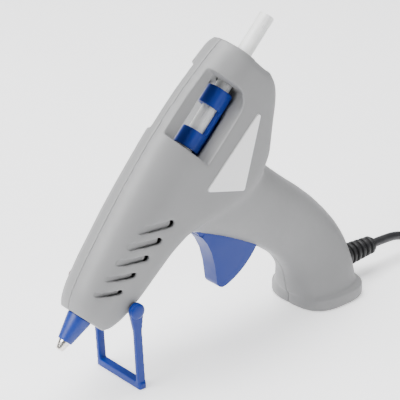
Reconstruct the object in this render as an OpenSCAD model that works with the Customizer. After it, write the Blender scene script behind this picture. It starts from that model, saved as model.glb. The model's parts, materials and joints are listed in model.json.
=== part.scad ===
// Corded hot melt glue gun standing on its foot and wire stand.
// +X runs from the nozzle to the cord, +Z is up, and the origin is the middle of the foot's sole.
// Inside the barrel, s is the distance from the nozzle's end along the barrel and d the depth below its axis.

/* [Barrel] */
// Tilt of the barrel from the horizontal
barrel_tilt = 46; // [40:1:50]
// Height of the nozzle's end above the surface
nozzle_height = 41; // [38:1:46]
// Distance of the nozzle's end in front of the foot's middle
nozzle_reach = 241.5; // [236:0.5:250]
// Half width of the flat flanks
flank_y = 21.5; // [20:0.5:25]
// Wall thickness of the two shells
wall = 2.6; // [2:0.2:3]

/* [Glue stick and heater] */
// Diameter of the glue stick
stick_d = 11.2; // [10.8:0.1:11.8]
// Length of the glue stick
stick_len = 200; // [120:10:200]
// Length of stick that stands out behind the barrel
stick_out = 33; // [10:1:60]
// Outer diameter of the melting chamber
chamber_d = 19.2; // [18:0.2:20]

/* [Carriage] */
// Outer diameter of the carriage's rings
carriage_d = 19; // [18:0.5:19.5]
// Length of the carriage
carriage_len = 46; // [40:1:46]

/* [Trigger] */
// Radius of the trigger's rear arc about its pivot
trigger_r = 57; // [50:1:58]
// Thickness of the trigger
trigger_w = 14; // [10:0.5:15]
// Pull of the trigger from rest to its stop
trigger_pull = 25; // [15:1:25]
// Distance of the drawbar's pin from the trigger's pivot
arm_len = 29.7; // [28:0.1:30]

/* [Stand] */
// Distance between the stand's legs
stand_gap = 39.8; // [39.4:0.2:46]
// Thickness of each leg
leg_t = 3.2; // [3:0.2:5]
// Depth of each leg from front to back
leg_w = 6.2; // [5:0.2:9]

/* [Foot] */
// Length of the foot
foot_len = 60; // [56:1:66]
// Width of the foot
foot_w = 62; // [58:1:68]
// Height of the foot's rim
foot_h = 10.5; // [9:0.5:12]

/* [Cord] */
// Diameter of the mains cord
cord_d = 6.8; // [6:0.2:7]
// Height of the cord's exit above the surface
cord_z = 20; // [18:0.5:24]
// Diameter across the coil at mid turn
coil_mid_d = 69; // [68:0.5:84]

/* [Hidden] */
$fn = 48;

// Clearances: sliding and turning fits, seats that hold, and free space round moving parts
slide_gap = 0.1;
turn_gap = 0.06;
seat_gap = 0.05;
free_gap = 0.5;
cut = 1; // how far a cutting shape runs past what it cuts
past = 40; // how far a wall, boss or cut runs from the middle plane to pass both flanks
head_gap = 0.3; // round a screw's head in its counterbore

shell_grey = "darkgray";
accent_blue = "mediumblue";

// Barrel outline: s, height above the axis, depth below it, half width
barrel_keys = [[26, 13.5, 19.5, 14.5], [33, 18, 23.5, 17.4], [52, 23, 27.5, 19.4],
    [97, 29, 30, flank_y], [118, 31, 37, flank_y], [143, 32.7, 56, flank_y],
    [160, 33.2, 65, flank_y], [184, 32.8, 65, flank_y], [206, 30.8, 50, flank_y],
    [225, 28.2, 36.5, flank_y - 0.3], [232, 26.8, 29, flank_y - 1], [235, 25, 24, flank_y - 3]];
// Handle outline: x and z of its inner edge, x and z of its back edge, half width. The upper rows are
// measured from the nozzle's end, so that the handle's root stays under the barrel.
nozzle_at = [-nozzle_reach, nozzle_height];
root_keys = [[106.5, 55.5, 126.5, 109, 19.5], [143.5, 38.5, 161.5, 100, 19.5], [175.5, 20, 194.5, 73, 18]];
handle_keys = [for (k = root_keys) k + [nozzle_at[0], nozzle_at[1], nozzle_at[0], nozzle_at[1], 0],
    [-46, 45, -14, 86.5, 17.5], [-36, 30, 12.5, 56, 19.5], [-33.5, 19, 24.5, 29, 24],
    [-31.5, foot_h, 27, foot_h, 27.5]];
// Foot outline from its top edge down to the sole: z, growth of the outline
foot_keys = [[foot_h, -1.6], [foot_h - 0.5, -0.5], [foot_h - 1.6, 0], [1.2, 0], [0, -1.2]];
barrel_steps = 15;
handle_steps = 14;
top_centre = 3; // height above the axis where the rounded top begins
corner_r = 13; // radius of the barrel's lower edges
round_top = 2.2; // superellipse exponents: barrel top, handle and foot
round_handle = 2.5;
round_foot = 3;
mouth_s = 26; // front and rear ends of the barrel
tail_s = 235;

// Window round the carriage, in barrel measures
window_s = [158, 212];
window_floor = 7;
strip_low = 20; // depth of the strip's underside above the axis
strip_half = 7;
trough_r = carriage_d / 2 + 0.7;
trough_t = 2.2;
slot_half = 6.5; // half width of the slot for the drawbar and the jaw

// Carriage, its jaw and its drawbar
carriage_s = 161;
ring_len = 13;
bore_r = stick_d / 2 + 0.15;
fork_y = [2.9, 5.4];
drawbar_d = carriage_d / 2 + 8.5;
jaw_at = [bore_r + 7.25, 180];
jaw_pin_r = 1.5;

// Trigger pivot in the frame, and its place in the barrel
pivot = nozzle_at + [125.5, 55];
hub_r = 9;
pivot_pin_r = 2.5;
pivot_pin_half = trigger_w / 2 + 5.5;
arm_pin_r = 2;
pivot_s = (pivot[0] + nozzle_reach) * cos(barrel_tilt) + (pivot[1] - nozzle_height) * sin(barrel_tilt);
pivot_d = (pivot[0] + nozzle_reach) * sin(barrel_tilt) - (pivot[1] - nozzle_height) * cos(barrel_tilt);
arm_pin_s = pivot_s + arm_len * sin(trigger_pull / 2);
arm_pin_d = pivot_d - arm_len * cos(trigger_pull / 2);
arm_half = 3.6;

// Stand pivot in the frame
stand_at = nozzle_at + [49.5, 21];
stand_foot_x = stand_at[0] + 3.5;
stud_r = 3;
eye_r = 5.8;
bar_h = 5.6;
leg_taper_z = 46; // height where the legs start to widen towards their eyes

// Any point of the barrel as x and z in the frame, then the arm's pin at rest and the screws
function from_barrel(s, d) = [s * cos(barrel_tilt) + d * sin(barrel_tilt) - nozzle_reach,
    s * sin(barrel_tilt) - d * cos(barrel_tilt) + nozzle_height];
arm_pin = from_barrel(arm_pin_s, arm_pin_d);
screw_at = [from_barrel(35.5, 17), from_barrel(100, 24), from_barrel(142, -24), from_barrel(222, 23),
    [-22, 76], [-10, 33]];
screw_r = 1.5;
boss_r = 4;
head_r = 3;
head_seat_y = 9; // the screw heads sit this far out on the right

// Pilot lamp: place along the barrel, tilt above the level, and its two ends from the axis
lamp_s = 48;
lamp_tilt = 43;
lamp_r = 2.5;
lamp_in = 12.5;
lamp_out = 22;

// Nozzle tip and the hole that the boot's groove sits in, then the heater parts, as s
tip_r = 4.2;
mouth_r = 8.1;
snout_s = 24.2;
snout_r = 6.5;
chamber_s = [38, 116];
spigot_s = 124;
melt_r = stick_d / 2 + 0.3;
spigot_r = melt_r + 1.3;
sleeve_r = spigot_r + 1.6;
sleeve_end_s = 143;
band_s = [118, 122]; // ends of the clamp's band round the sleeve
mount_s = [40.5, 104.5];
mount_len = 3;
mount_r = chamber_d / 2 + 3.4;
channel_d = [chamber_d / 2 + 2.4, chamber_d / 2 + 10]; // slot for the heater and its wedge
channel_y = 7.5;
heater_t = 5.85;

// Guide at the barrel's rear, and the return spring below the carriage
guide_bore = stick_d / 2 + 0.6;
guide_r = guide_bore + 2.3;
guide_flange = 2.5;
spring_r = 3;
spring_s = [187, 213];
spring_hook_s = 183.8;
post_s = 217;

// Cord clamp on its two posts, and the terminal block on its shelf, in x and z
clamp_x = [4, 13];
clamp_z = cord_z + 1.2;
clamp_t = 5;
clamp_screw_at = [8.5, 8.5]; // x, and y on either side
clamp_screw_r = 1.3;
terminal_at = [-2, 41];
terminal_size = [10, 18, 10];
shelf_t = 2.4;
core_gap = 12; // opening between the two shelves for the cord's cores
core_r = 1.1;
inner_end_x = 2; // where the cord's jacket ends inside the handle

// Cord route: from the strain relief to the coil, and from the coil to the plug
relief_x = [22, 58];
coil_at = [168, -18];
coil_turns = 2; // turns side by side in each of the three layers
coil_layers = 3;
turn_play = 0.4; // between neighbouring turns, and between layers
layer_play = 0.1;
coil_half = [(coil_turns + 1) * (cord_d + turn_play) / 2, coil_layers * (cord_d + layer_play) / 2];
coil_floor = 0.8;
lead_route = [[relief_x[1], 0, cord_z], [68, 0, 19.8], [76, 0, 19.4], [84, 0, 18.4], [92, 0, 15.6],
    [100, 0, 11.9], [108, 0, 8.1], [116, 0.6, 5.3], [124, 2.8, 4.3], [131, 6.4, 4.3]];
tail_route = [[150, -42.8, 19], [139.7, -27.2, 21.6], [140.4, -9, 24.8], [151.5, 4.7, 27.4],
    [168, 9.3, 28.4]];
plug_at = [168, 9.3, 28.4]; // the plug lies on the coil

// Smooth curve through rows of values: u counts the rows
function blend_rows(a, b, c, d, t) =
    0.5 * (2 * b + (c - a) * t + (2 * a - 5 * b + 4 * c - d) * t * t + (3 * b - a - 3 * c + d) * t * t * t);
function row_at(keys, u) = let(n = len(keys) - 1, i = min(floor(u), n - 1))
    blend_rows(keys[max(i - 1, 0)], keys[i], keys[i + 1], keys[min(i + 2, n)], u - i);
function rows(keys, steps, first = 0) =
    [for (j = [0:steps]) row_at(keys, first + (len(keys) - 1 - first) * j / steps)];

function signed_pow(v, p) = sign(v) * pow(abs(v), p);

// One barrel section as [d, y, s], drawn in by inset
function barrel_ring(k, inset, n) = let(
        top = k[1] - inset, low = k[2] - inset, w = min(k[3], flank_y) - inset, r = corner_r - inset)
    concat(
        [for (i = [0:n]) let(a = 180 * i / n)
            [-top_centre - (top - top_centre) * pow(sin(a), 2 / round_top),
             w * signed_pow(cos(a), 2 / round_top), k[0]]],
        [for (i = [0:n / 4]) let(a = 360 * i / n) [low - r + r * sin(a), r - w - r * cos(a), k[0]]],
        [for (i = [n / 4:-1:0]) let(a = 360 * i / n) [low - r + r * sin(a), w - r + r * cos(a), k[0]]]);

// One handle section as [x, y, z], drawn in by inset
function handle_ring(k, inset, n) = let(
        half = [k[2] - k[0], k[3] - k[1]] / 2, mid = [k[0], k[1]] + half,
        reach = half * (1 - inset / norm(half)), w = k[4] - inset)
    [for (i = [0:n - 1]) let(a = 360 * i / n, u = signed_pow(sin(a), 2 / round_handle))
        [mid[0] + reach[0] * u, w * signed_pow(cos(a), 2 / round_handle), mid[1] + reach[1] * u]];

function foot_ring(z, grow, n) =
    [for (i = [0:n - 1]) let(a = 360 * i / n)
        [(foot_len / 2 + grow) * signed_pow(sin(a), 2 / round_foot),
         (foot_w / 2 + grow) * signed_pow(cos(a), 2 / round_foot), z]];

// Closed solid through rings with equal numbers of points
module loft(rings) {
    n = len(rings[0]);
    m = len(rings);
    sides = [for (j = [0:m - 2]) for (i = [0:n - 1]) let(
            a = j * n + i, b = j * n + (i + 1) % n, c = a + n, d = b + n)
        each [[a, c, b], [b, c, d]]];
    ends = [[for (i = [0:n - 1]) i], [for (i = [n - 1:-1:0]) (m - 1) * n + i]];
    polyhedron(points = [for (r = rings) each r], faces = concat(sides, ends), convexity = 6);
}

// Round tube swept along a route, its rings square to the route
function unit(v) = v / norm(v);
function route_ring(route, j, r, sides) = let(
        t = unit(route[min(j + 1, len(route) - 1)] - route[max(j - 1, 0)]),
        side = unit(cross(t, [0.013, 0.021, 1])), up = cross(side, t))
    [for (i = [0:sides - 1]) let(a = 360 * i / sides) route[j] + r * (cos(a) * side + sin(a) * up)];
module swept_tube(route, r, sides) {
    loft([for (j = [0:len(route) - 1]) route_ring(route, j, r, sides)]);
}
function smooth_route(keys, steps) = [for (j = [0:steps]) row_at(keys, (len(keys) - 1) * j / steps)];

// Barrel frame: local x is the depth d below the axis and local z is s
module in_barrel() {
    translate([-nozzle_reach, 0, nozzle_height]) rotate([0, 90 - barrel_tilt, 0]) children();
}
module ring(outer_r, inner_r, from_s, to_s) {
    translate([0, 0, from_s]) difference() {
        cylinder(r = outer_r, h = to_s - from_s);
        translate([0, 0, -cut]) cylinder(r = inner_r, h = to_s - from_s + 2 * cut);
    }
}
module block(d, y, s) {
    translate([d[0], y[0], s[0]]) cube([d[1] - d[0], y[1] - y[0], s[1] - s[0]]);
}
// Flat outline drawn in x and z, centred on the middle plane
module upright(thickness) {
    rotate([90, 0, 0]) linear_extrude(thickness, center = true) children();
}
// Flat outline drawn in d and s, centred on the middle plane
module in_barrel_plate(thickness) {
    in_barrel() rotate([90, 0, 0]) linear_extrude(thickness, center = true) children();
}
module cross_pin(at, r, from_y, to_y) {
    translate([at[0], to_y, at[1]]) rotate([90, 0, 0]) cylinder(r = r, h = to_y - from_y);
}
module bar(from, to, r) {
    hull() {
        translate(from) circle(r, $fn = 32);
        translate(to) circle(r, $fn = 32);
    }
}

// ---- Shells ----

module shell_outside() {
    in_barrel() loft([for (k = rows(barrel_keys, barrel_steps)) barrel_ring(k, 0, 24)]);
    loft(concat([for (k = rows(handle_keys, handle_steps)) handle_ring(k, 0, 32)],
        [for (k = foot_keys) foot_ring(k[0], k[1], 32)]));
}

module shell_hollow() {
    inner = [for (k = rows(barrel_keys, 9))
        [max(mouth_s + wall + 1, min(tail_s - wall, k[0])), k[1], k[2], k[3]]];
    in_barrel() loft([for (k = inner) barrel_ring(k, wall, 16)]);
    loft(concat([for (k = rows(handle_keys, 9, 0.12)) handle_ring(k, wall, 20)],
        [for (z = [foot_h - wall, wall]) foot_ring(z, -wall - 0.8, 20)]));
}

// Ribs, bosses and walls that stay inside the shells
module inner_walls() {
    in_barrel() {
        for (s = mount_s) block([-60, 90], [-past, past], [s, s + mount_len]);
        block([-60, 30], [-past, past], [window_s[0] - wall, window_s[0]]);
        block([-60, 30], [-past, past], [window_s[1], window_s[1] + wall]);
        block([-60, -strip_low], [-strip_half, strip_half], window_s);
        block([window_floor, window_floor + wall], [-past, past], window_s);
        block([window_floor, trough_r + trough_t], [-trough_r - trough_t, trough_r + trough_t], window_s);
    }
    for (at = screw_at) cross_pin(at, boss_r, -past, past);
    for (y = [-1, 1] * clamp_screw_at[1]) translate([clamp_screw_at[0], y, 0]) cylinder(r = 3.5, h = clamp_z);
    for (y = [-past, core_gap / 2]) translate([terminal_at[0], y, terminal_at[1] - shelf_t])
        cube([terminal_size[0], past - core_gap / 2, shelf_t]);
    for (y = [-past, trigger_w / 2 + free_gap])
        cross_pin(pivot, pivot_pin_r + 2.5, y, y + past - trigger_w / 2 - free_gap);
}

// Outline of the window in d and s
module window_outline() {
    r = 14;
    translate([-60, window_s[0]]) square([60 + window_floor - r, window_s[1] - window_s[0]]);
    translate([-60, window_s[0]]) square([60 + window_floor, window_s[1] - window_s[0] - r]);
    translate([window_floor - r, window_s[1] - r]) circle(r);
}

module vent_slots() {
    for (i = [0:4]) let(
            from = from_barrel(43.5 + 13 * i, -13), to = from_barrel(54.5 + 14.2 * i, 2 + 1.1 * i),
            r = 1.5 + 0.22 * i, run = to - from)
        translate([from[0], 0, from[1]]) rotate([0, -atan2(run[1], run[0]), 0])
            upright(90) {
                circle(r);
                translate([norm(run), 0]) circle(r);
                translate([0, -r]) square([norm(run), 2 * r]);
            }
}

// Everything cut out of the closed shells
module shell_cuts() {
    in_barrel() {
        translate([0, 0, mouth_s - cut]) cylinder(r = mouth_r, h = wall + 2 + 2 * cut);
        translate([0, 0, tail_s - wall - cut]) cylinder(r = guide_r + seat_gap, h = wall + 2 * cut);
        for (s = mount_s) translate([0, 0, s - cut])
            cylinder(r = mount_r + seat_gap, h = mount_len + 2 * cut);
        translate([0, 0, window_s[0] - wall - cut]) cylinder(r = trough_r, h = wall + 2 * cut);
        translate([0, 0, window_s[0]]) cylinder(r = trough_r, h = window_s[1] - window_s[0]);
        translate([0, 0, window_s[1] - cut]) cylinder(r = guide_bore + 0.8, h = wall + 2 * cut);
        translate([drawbar_d, 0, window_s[1] - cut]) cylinder(r = spring_r + free_gap, h = wall + 2 * cut);
        block([window_floor - cut, 29], [-slot_half, slot_half],
            [window_s[0] - wall - cut, window_s[1] - 20]);
        for (y = [-14, 14]) translate([19, y, mount_s[1] - cut]) cylinder(r = 2.5, h = mount_len + 2 * cut);
    }
    difference() {
        in_barrel_plate(90) window_outline();
        in_barrel() block([-60, -strip_low], [-strip_half, strip_half], window_s);
    }
    vent_slots();
    upright(trigger_w + 2 * free_gap) {
        translate(pivot) circle(hub_r + free_gap);
        intersection() {
            translate(pivot) circle(trigger_r + 0.7);
            translate(pivot) polygon([[0, 0], [-3, -80], [80, -80], [80, 9.5], [0, 9.5]]);
        }
    }
    // room for the trigger's arm over its whole pull
    upright(2 * fork_y[0] + free_gap) translate(pivot) for (a = [0:trigger_pull / 4:trigger_pull])
        rotate(a + atan2(arm_pin[1] - pivot[1], arm_pin[0] - pivot[0])) {
            translate([0, -arm_half - free_gap]) square([arm_len, 2 * (arm_half + free_gap)]);
            translate([arm_len, 0]) circle(arm_half + free_gap);
        }
    cross_pin(pivot, pivot_pin_r + seat_gap, -pivot_pin_half, pivot_pin_half);
    for (at = screw_at) {
        cross_pin(at, screw_r + seat_gap, -12, past);
        cross_pin(at, head_r + head_gap, head_seat_y, past);
    }
    for (y = [-1, 1] * clamp_screw_at[1]) translate([clamp_screw_at[0], y, 8])
        cylinder(r = clamp_screw_r + seat_gap, h = clamp_z);
    translate([relief_x[0] - 3, 0, cord_z]) rotate([0, 90, 0]) cylinder(r = 7.6 + seat_gap, h = 20);
    lamp_place() cylinder(r = lamp_r + seat_gap, h = 30);
}

module shell(side) {
    color(shell_grey) {
        difference() {
            intersection() {
                difference() {
                    shell_outside();
                    difference() {
                        shell_hollow();
                        inner_walls();
                    }
                }
                translate([-400, side < 0 ? -100 : 0, -cut]) cube([600, 100, 400]);
            }
            shell_cuts();
        }
        cross_pin(stand_at, stud_r, side < 0 ? -stand_gap / 2 - leg_t : 16,
            side < 0 ? -16 : stand_gap / 2 + leg_t);
        in_barrel() block([29, 33], side < 0 ? [-6, 0] : [0, 6], [97, 101]);
    }
}

module left_shell() { shell(-1); }
module right_shell() { shell(1); }

module shell_screws() {
    color("silver") for (at = screw_at) {
        cross_pin(at, screw_r, -10, head_seat_y + 0.1);
        cross_pin(at, head_r, head_seat_y, head_seat_y + 2);
    }
}

// Base of the pilot lamp inside the upper right flank, its axis square to the surface
module lamp_place() {
    in_barrel() translate([0, 0, lamp_s]) rotate([0, 0, lamp_tilt]) rotate([-90, 0, 0])
        translate([0, 0, lamp_in]) children();
}

// Three-cornered plate on a flank, in d and s
module label_plate(side) {
    color("whitesmoke") in_barrel()
        translate([0, side * (flank_y + 0.3), 0]) rotate([90, 0, 0]) linear_extrude(0.6, center = true)
            hull() for (p = [[20.5, 208], [48.5, 161], [20, 144.5]])
                translate(p) circle(1.2, $fn = 32);
}
module left_label() { label_plate(-1); }
module right_label() { label_plate(1); }

module pilot_lamp() {
    color("black") lamp_place() cylinder(r = lamp_r, h = lamp_out - lamp_in);
}

// ---- Nozzle and heater ----

module nozzle_tip() {
    color("silver") in_barrel() difference() {
        union() {
            cylinder(r1 = 2.8, r2 = tip_r, h = 7);
            translate([0, 0, 7]) cylinder(r = tip_r, h = 12);
            translate([0, 0, 19]) cylinder(r = 6.2, h = snout_s - 19, $fn = 6);
            translate([0, 0, snout_s]) cylinder(r = 3.9, h = 9.8);
        }
        translate([0, 0, -cut]) cylinder(r = 1.1, h = 40);
        translate([0, 0, 12]) cylinder(r = 2.6, h = 30);
    }
}

module check_ball() {
    color("silver") in_barrel() translate([0, 0, 22.2]) sphere(r = 2.3);
}

module ball_spring() {
    color("gray") in_barrel() ring(2.3, 1.8, 12.1, 19.8);
}

module nozzle_boot() {
    color(accent_blue) in_barrel() rotate_extrude()
        polygon([[tip_r + seat_gap, 7], [5.1, 7], [9, 25.8], [mouth_r - seat_gap, 25.9],
            [mouth_r - seat_gap, 29.8], [10.4, 29.8], [10.4, 32], [snout_r + seat_gap, 32],
            [snout_r + seat_gap, snout_s], [6.3, snout_s], [6.3, 18.9], [tip_r + seat_gap, 18.9]]);
}

module heat_chamber() {
    color("lightgray") in_barrel() difference() {
        union() {
            translate([0, 0, snout_s]) cylinder(r = snout_r, h = chamber_s[0] - snout_s);
            translate([0, 0, chamber_s[0]]) cylinder(r = chamber_d / 2, h = chamber_s[1] - chamber_s[0]);
            translate([0, 0, chamber_s[1]]) cylinder(r = spigot_r, h = spigot_s - chamber_s[1]);
            block([6, channel_d[1] + 1.9], [-channel_y - 2, channel_y + 2], [46, 93]);
        }
        translate([0, 0, snout_s - cut]) cylinder(r = 3.95, h = 12);
        translate([0, 0, 34]) cylinder(r1 = 3.95, r2 = melt_r, h = 6);
        translate([0, 0, 40]) cylinder(r = melt_r, h = 100);
        block(channel_d, [-channel_y, channel_y], [40, 110]);
    }
}

module ptc_heater() {
    color("sienna") in_barrel() translate([channel_d[0] + seat_gap, 0, 0])
        block([0, heater_t], [0.3 - channel_y, channel_y - 0.3], [48, 91]);
}

module heater_wedge() {
    color("silver") in_barrel() block([channel_d[0] + heater_t + 2 * seat_gap, channel_d[1] - seat_gap],
        [1 - channel_y, channel_y - 1], [47.5, 91.5]);
}

module mount_ring(s) {
    color("sienna") in_barrel() ring(mount_r, chamber_d / 2 + seat_gap, s, s + mount_len);
}
module front_mount() { mount_ring(mount_s[0]); }
module rear_mount() { mount_ring(mount_s[1]); }

module feed_sleeve() {
    color("tomato") in_barrel() {
        ring(sleeve_r, spigot_r + seat_gap, chamber_s[1] + 0.3, spigot_s + 0.2);
        ring(sleeve_r, bore_r, spigot_s + 0.2, sleeve_end_s);
    }
}

module sleeve_clamp() {
    color("silver") in_barrel() {
        ring(sleeve_r + 1.2, sleeve_r + seat_gap, band_s[0], band_s[1]);
        difference() {
            block([sleeve_r, sleeve_r + 6.2], [-3, 3], band_s);
            translate([0, 0, band_s[0] - cut])
                cylinder(r = sleeve_r + 0.4, h = band_s[1] - band_s[0] + 2 * cut);
        }
    }
}

module inlet_guide() {
    color("dimgray") in_barrel() {
        ring(guide_r, guide_bore, tail_s - wall - 3, tail_s);
        ring(guide_r + guide_flange, guide_r - 0.1, tail_s - wall - 3, tail_s - wall - 0.1);
    }
}

module glue_stick() {
    color("white") in_barrel() translate([0, 0, tail_s + stick_out - stick_len])
        cylinder(r = stick_d / 2, h = stick_len);
}

// ---- Feed ----

module carriage() {
    front = [carriage_s, carriage_s + ring_len];
    back = [carriage_s + carriage_len - ring_len - 1, carriage_s + carriage_len];
    color(accent_blue) difference() {
        union() {
            in_barrel() difference() {
                translate([0, 0, carriage_s]) cylinder(r = carriage_d / 2, h = carriage_len);
                block([-20, 2], [-20, 20], [front[1], back[0]]);
                translate([0, 0, carriage_s - cut]) cylinder(r = bore_r, h = carriage_len + 2 * cut);
            }
            for (side = [-1, 1]) translate([0, side * (fork_y[0] + fork_y[1]) / 2, 0])
                in_barrel_plate(fork_y[1] - fork_y[0]) difference() {
                    union() {
                        bar([arm_pin_d, arm_pin_s], [drawbar_d, 158], 4.2);
                        bar([drawbar_d, 158], jaw_at, 4.2);
                        bar(jaw_at, [drawbar_d, spring_hook_s], 2.6);
                        translate([carriage_d / 2 - 2.3, carriage_s + 1]) square([8, 22]);
                    }
                    bar([arm_pin_d - 1.2, arm_pin_s], [arm_pin_d + 1.2, arm_pin_s], arm_pin_r + slide_gap);
                    translate([0, 140]) square([bore_r + 1.2, 60]);
                }
        }
        in_barrel() block([0, 30], [-fork_y[0], fork_y[0]], [jaw_at[1] - 6.5, jaw_at[1] + 5.5]);
        in_barrel() translate([jaw_at[0], 0, jaw_at[1]]) rotate([90, 0, 0])
            cylinder(r = jaw_pin_r + seat_gap, h = 30, center = true);
    }
    color(accent_blue) in_barrel() translate([drawbar_d, 0, spring_hook_s]) rotate([90, 0, 0])
        cylinder(r = 1.2, h = 2 * fork_y[1] - 1, center = true);
}

module clamp_jaw() {
    color("silver") in_barrel_plate(2 * fork_y[0] - 0.3) difference() {
        union() {
            bar(jaw_at, [bore_r + 2.65, jaw_at[1] - 2], 2);
            translate([bore_r, jaw_at[1]]) polygon([[0.25, -3.2], [2.25, -4.6], [3.25, 0], [0.85, -1]]);
            translate(jaw_at) circle(3.2);
        }
        translate(jaw_at) circle(jaw_pin_r + turn_gap);
    }
}

module jaw_pin() {
    color("silver") in_barrel() translate([jaw_at[0], 0, jaw_at[1]]) rotate([90, 0, 0])
        cylinder(r = jaw_pin_r, h = 2 * fork_y[1], center = true);
}

module trigger() {
    low = [16, -48.5];
    low_r = trigger_r - norm(low);
    color(accent_blue) difference() {
        union() {
            upright(trigger_w) translate(pivot) {
                difference() {
                    intersection() {
                        circle(trigger_r, $fn = 120);
                        polygon([[-hub_r, 0], [-6, -6.5], [0.5, -15], [5, -24], [8, -35], [10, -48.5],
                            [10, -70], [80, -32], [7, 5]]);
                    }
                    difference() {
                        translate([0, low[1] - 20]) square([low[0], 20]);
                        translate(low) circle(low_r);
                    }
                }
                circle(hub_r);
            }
            upright(2 * fork_y[0] - 0.4) bar(pivot, arm_pin, arm_half);
            cross_pin(arm_pin, arm_pin_r, -fork_y[1] - 0.4, fork_y[1] + 0.4);
        }
        cross_pin(pivot, pivot_pin_r + turn_gap, -20, 20);
    }
}

module trigger_pin() {
    color("silver") cross_pin(pivot, pivot_pin_r, 0.1 - pivot_pin_half, pivot_pin_half - 0.1);
}

// Extension spring from the drawbar back to a post in the shells
module return_spring() {
    color("silver") in_barrel() translate([drawbar_d, 0, 0])
        ring(spring_r, spring_r - 0.6, spring_s[0], spring_s[1]);
}

module spring_post() {
    color("silver") in_barrel() translate([drawbar_d, 0, post_s]) rotate([90, 0, 0])
        cylinder(r = 1.5, h = 36, center = true);
}

// ---- Stand ----

module stand() {
    out = stand_gap / 2 + leg_t;
    leg_top_x = stand_foot_x + (stand_at[0] - stand_foot_x) * leg_taper_z / stand_at[1];
    color(accent_blue) difference() {
        union() {
            for (y = [-out + leg_t / 2, out - leg_t / 2]) translate([0, y, 0]) upright(leg_t) {
                translate(stand_at) circle(eye_r);
                polygon([[stand_at[0] - eye_r, stand_at[1]], [leg_top_x - leg_w / 2, leg_taper_z],
                    [stand_foot_x - leg_w / 2, 0], [stand_foot_x + leg_w / 2, 0],
                    [leg_top_x + leg_w / 2, leg_taper_z], [stand_at[0] + eye_r, stand_at[1]]]);
            }
            translate([stand_foot_x - leg_w / 2, -out, 0]) cube([leg_w, 2 * out, bar_h]);
            for (y = [-out - 1.2, out]) translate([stand_foot_x - 2.5, y, 0]) cube([5, 1.2, 5]);
        }
        cross_pin(stand_at, stud_r + turn_gap, -out - cut, out + cut);
    }
}

// ---- Cord ----

module strain_relief() {
    color("black") translate([0, 0, cord_z]) rotate([0, 90, 0]) difference() {
        union() {
            translate([0, 0, relief_x[0] - 3]) cylinder(r = 9.2, h = 1.7);
            translate([0, 0, relief_x[0] - 3]) cylinder(r = 7.6, h = 12);
            translate([0, 0, 31]) cylinder(r1 = 7.6, r2 = 6.2, h = relief_x[1] - 31);
            for (i = [0:4]) translate([0, 0, 32 + 5.2 * i]) cylinder(r = 8.4 - 0.35 * i, h = 2.6);
        }
        translate([0, 0, relief_x[0] - 4])
            cylinder(r = cord_d / 2 + seat_gap, h = relief_x[1] - relief_x[0] + 3.8);
    }
}

module cord_clamp() {
    color("black") difference() {
        translate([clamp_x[0], -12, clamp_z]) cube([clamp_x[1] - clamp_x[0], 24, clamp_t]);
        translate([0, 0, cord_z]) rotate([0, 90, 0]) cylinder(r = cord_d / 2 + seat_gap, h = 20);
        for (y = [-1, 1] * clamp_screw_at[1]) translate([clamp_screw_at[0], y, 0])
            cylinder(r = clamp_screw_r + seat_gap, h = 40);
    }
}

module clamp_screws() {
    color("silver") for (y = [-1, 1] * clamp_screw_at[1]) translate([clamp_screw_at[0], y, 0]) {
        translate([0, 0, 9]) cylinder(r = clamp_screw_r, h = clamp_z + clamp_t + 0.1 - 9);
        translate([0, 0, clamp_z + clamp_t]) cylinder(r = 2 * clamp_screw_r, h = 1.8);
    }
}

module terminal_block() {
    color("ivory") translate([terminal_at[0], -terminal_size[1] / 2, terminal_at[1]]) cube(terminal_size);
}

// Cord's jacket from the clamp through the strain relief
module cord_end() {
    color("black") translate([inner_end_x, 0, cord_z]) rotate([0, 90, 0])
        cylinder(r = cord_d / 2, h = relief_x[1] - 0.3 - inner_end_x);
}

// The cord's two bare-ended cores, from the jacket's end up to the terminal block
module core_wires() {
    x = inner_end_x - 0.4;
    z = terminal_at[1] - 0.1;
    color("saddlebrown") for (side = [-1, 1])
        swept_tube(smooth_route([[x, 1.7 * side, cord_z], [x - 2, 1.8 * side, cord_z + 0.5],
            [x - 6, 2.4 * side, cord_z + 8], [x - 1.5, 3.4 * side, z - 5], [x + 0.5, 3.6 * side, z - 2],
            [x + 0.5, 3.6 * side, z]], 12), core_r, 8);
}

// Inner lead from the terminal block to the heater, on one side of the feed
module inner_lead(side) {
    foot = [terminal_at[0] + terminal_size[0] / 2, terminal_at[1] + terminal_size[2] + 0.5];
    path = [[foot, 5], [foot + [0, 3], 5], [foot + [-6, 10], 7], [foot + [-25, 16], 9],
        [nozzle_at + [201, 50], 10.5], [nozzle_at + [184, 62], 11], [from_barrel(150, 32), 14.5],
        [from_barrel(128, 22), 14.5], [from_barrel(106, 19), 14], [from_barrel(99.5, 15), 9]];
    keys = [for (p = path) [p[0][0], side * p[1], p[0][1]]];
    color(side < 0 ? "saddlebrown" : "royalblue") swept_tube(smooth_route(keys, 32), 1.3, 8);
}
module live_wire() { inner_lead(-1); }
module neutral_wire() { inner_lead(1); }

module cord_lead() {
    color("black") swept_tube(smooth_route(lead_route, 27), cord_d / 2, 12);
}

module cord_coil() {
    color("black") translate([coil_at[0], coil_at[1], coil_floor]) rotate_extrude($fn = 96)
        translate([coil_mid_d / 2 - coil_half[0], 0]) square([2 * coil_half[0], 2 * coil_half[1]]);
}

module coil_tie() {
    x = coil_at[0] + coil_mid_d / 2;
    t = 0.7;
    play = [0.5, 1.2]; // free space inside and outside the ring
    high = 2 * coil_half[1] + coil_floor + 0.2;
    color("dimgray") difference() {
        translate([x - coil_half[0] - t - play[0], coil_at[1] - 3, 0])
            cube([2 * coil_half[0] + 2 * t + play[0] + play[1], 6, high + t]);
        translate([x - coil_half[0] - play[0], coil_at[1] - 4, t])
            cube([2 * coil_half[0] + play[0] + play[1], 8, high - t]);
    }
}

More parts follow.
